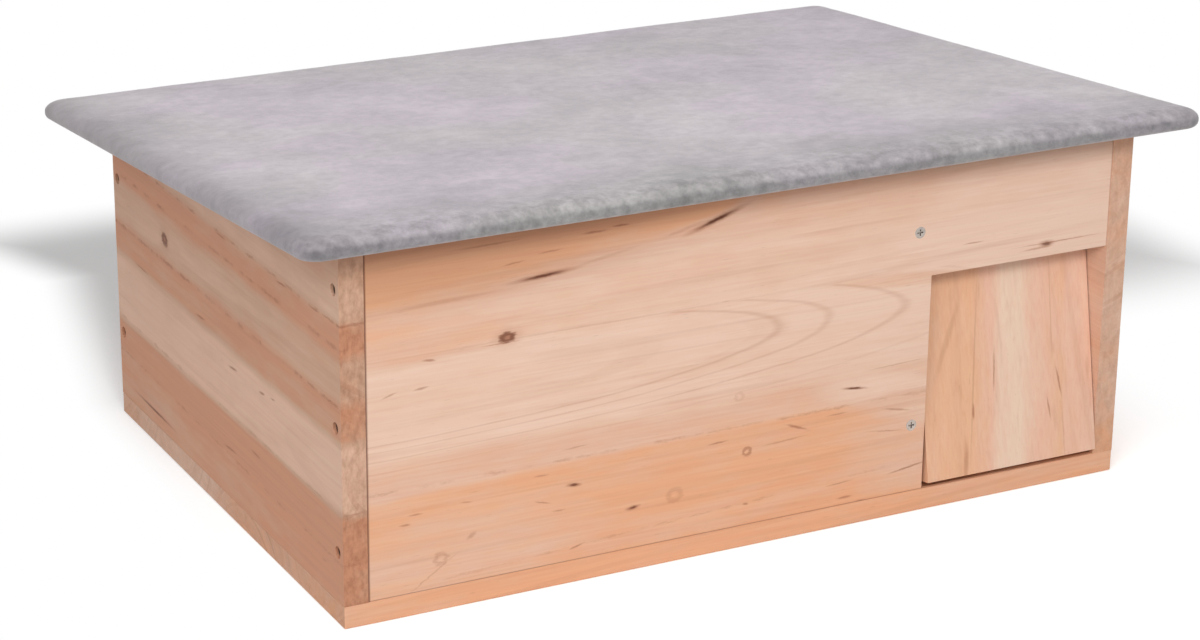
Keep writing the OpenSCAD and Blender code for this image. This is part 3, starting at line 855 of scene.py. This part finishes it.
def felt_mesh():
    """The top with its rolled edge, and the turned-in strip under it."""
    xs = grid_lines(HALF_X)
    us = grid_lines(HALF_U)
    top = BOARD_T + FELT_T
    low = -FELT_T
    bm = bmesh.new()

    upper = {}
    lower = {}
    last = (len(xs) - 1, len(us) - 1)
    for i, x0 in enumerate(xs):
        for j, u0 in enumerate(us):
            x, u = round_plan(x0, u0)
            e = inset(x, u)
            calm = min(1.0, 0.15 + e / ROLL_W)
            z = top - edge_drop(e, ROLL_W, ROLL_H) - TOP_ROOM + calm * ripple(x, u, 1.0)
            upper[i, j] = bm.verts.new((x, u, z))
            ring = min(i, j, last[0] - i, last[1] - j)
            if ring < len(EDGE_STEPS):
                z = low + edge_drop(e, EDGE_LOW, EDGE_LOW) + LOW_ROOM + 0.5 * calm * ripple(x, u, 7.0)
                lower[i, j] = bm.verts.new((x, u, z))
    for i in range(last[0]):
        for j in range(last[1]):
            corners = [(i, j), (i + 1, j), (i + 1, j + 1), (i, j + 1)]
            bm.faces.new([upper[c] for c in corners])
            if all(c in lower for c in corners):
                bm.faces.new([lower[c] for c in reversed(corners)])
    rim = [(i, 0) for i in range(last[0])] + [(last[0], j) for j in range(last[1])]
    rim += [(i, last[1]) for i in range(last[0], 0, -1)] + [(0, j) for j in range(last[1], 0, -1)]
    for a, b in zip(rim, rim[1:] + rim[:1]):
        bm.faces.new((upper[a], lower[a], lower[b], upper[b]))
    bmesh.ops.recalc_face_normals(bm, faces=bm.faces)
    mesh = bpy.data.meshes.new("roof_felt_sheet")
    bm.to_mesh(mesh)
    bm.free()
    for poly in mesh.polygons:
        poly.use_smooth = True
    return mesh


def make_felt():
    obj = bpy.data.objects.new("roof_felt_sheet", felt_mesh())
    scene.collection.objects.link(obj)
    tilt = Matrix.Rotation(-ROOF_PITCH, 4, "X")
    centre = Matrix.Translation((0.0, HALF_U - OVER_FRONT, 0.0))
    obj.matrix_world = Matrix.Translation((0.0, FRONT, ROOF_Z)) @ tilt @ centre
    thick = obj.modifiers.new("thickness", "SOLIDIFY")
    thick.thickness = SHEET_T
    thick.offset = -1.0
    obj.data.materials.append(felt())
    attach(obj, "roof")
    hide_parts("roof_felt")


# Studio: a white floor that keeps the shadow, two front lamps and an even sky
FLOOR_HALF = 8.0
FLOOR_DROP = 0.4 * MM
FLOOR_ALBEDO = 0.93
# Painted shade: the floor is seen brighter in front than behind the house, where its shadow falls, which
# deepens that shadow
FLOOR_SEEN_FRONT = 1.75
FLOOR_SEEN_BACK = 1.22
FLOOR_TURN = (-0.10, 0.12)
WHITE = (1.0, 1.0, 1.0, 1.0)
SKY = 0.31
LAMP_AIM = (0.0, 0.0, 0.1)
KEY_PLACE = (-0.57, -2.45, 1.73)
KEY_SIZE = 0.7
KEY_WATTS = 32.0
FILL_PLACE = (-1.84, -1.84, 1.60)
FILL_SIZE = 1.6
FILL_WATTS = 24.0

# Outline of the shadow on the floor, in metres: outside it the floor is seen as plain white.
# Its left side is narrowest at the waist and bows out to the front and to the back of it.
SHADOW_FAR = (0.57, 0.70)
SHADOW_BACK = (0.49, 0.58)
WAIST_X = -0.195
WAIST_Y = 0.42
BOW_FRONT = -0.214
BOW_BACK = 0.35
BOW_MOST = 0.05
SHADOW_LEFT = (-0.030, 0.022)
SHADOW_FRONT = (0.02, 0.15)
SHADOW_BESIDE = (0.25, 0.37)
SHADOW_RIGHT = (0.50, 0.58)


def outside_shadow(s):
    """1 on the part of the floor that is plain white, 0 where the shadow lies."""
    x, y, _ = s.split(s.coords)
    far = s.math("MAXIMUM", s.fade(s.vector("LENGTH", s.coords), *SHADOW_FAR), s.fade(y, *SHADOW_BACK))
    along = s.math("SUBTRACT", y, WAIST_Y)
    bow = s.math("MAXIMUM", s.math("MULTIPLY", along, BOW_FRONT), s.math("MULTIPLY", along, BOW_BACK))
    bow = s.math("MINIMUM", bow, BOW_MOST)
    inside = s.math("ADD", s.math("SUBTRACT", x, WAIST_X), bow)
    left = s.fade(inside, *SHADOW_LEFT, 1.0, 0.0)
    right = s.math("MULTIPLY", s.fade(y, *SHADOW_FRONT, 1.0, 0.0), s.fade(x, *SHADOW_BESIDE))
    right = s.math("MAXIMUM", right, s.fade(x, *SHADOW_RIGHT))
    return s.math("MAXIMUM", far, s.math("MAXIMUM", left, right))


def make_stage():
    mesh = bpy.data.meshes.new("floor")
    bm = bmesh.new()
    bmesh.ops.create_grid(bm, x_segments=1, y_segments=1, size=FLOOR_HALF)
    bm.to_mesh(mesh)
    bm.free()
    obj = bpy.data.objects.new("floor", mesh)
    obj.location = (0.0, 0.0, -FLOOR_DROP)
    scene.collection.objects.link(obj)
    s = Shader("studio_floor")
    seen = s.seen()
    gain = s.fade(s.split(s.coords)[1], *FLOOR_TURN, FLOOR_SEEN_FRONT, FLOOR_SEEN_BACK)
    near = s.add("BsdfDiffuse")
    s.put(near.inputs["Color"], s.mix(seen, (FLOOR_ALBEDO,) * 3, s.join(gain, gain, gain)))
    white = s.add("Emission")
    fac = s.math("MULTIPLY", outside_shadow(s), seen)
    s.put(s.out.inputs["Surface"], s.blend(fac, near.outputs[0], white.outputs[0]))
    mesh.materials.append(s.mat)


def make_light():
    world = bpy.data.worlds.new("studio")
    world.use_nodes = True
    scene.world = world
    s = Nodes(world.node_tree)
    skies = []
    for strength in (SKY, 1.0):
        sky = s.add("Background")
        sky.inputs["Color"].default_value = WHITE
        sky.inputs["Strength"].default_value = strength
        skies.append(sky.outputs[0])
    s.put(s.add("OutputWorld").inputs["Surface"], s.blend(s.seen(), *skies))

    lamps = (("key", KEY_PLACE, KEY_SIZE, KEY_WATTS), ("fill", FILL_PLACE, FILL_SIZE, FILL_WATTS))
    for name, place, size, watts in lamps:
        data = bpy.data.lights.new(name, "AREA")
        data.shape = "DISK"
        data.size = size
        data.energy = watts
        lamp = bpy.data.objects.new(name, data)
        lamp.location = place
        aim = Vector(LAMP_AIM) - Vector(place)
        lamp.rotation_euler = aim.to_track_quat("-Z", "Y").to_euler()
        scene.collection.objects.link(lamp)


scene.view_settings.view_transform = "Standard"
make_camera()
make_stage()
make_light()
dress_boards()
dress_metal()
make_felt()
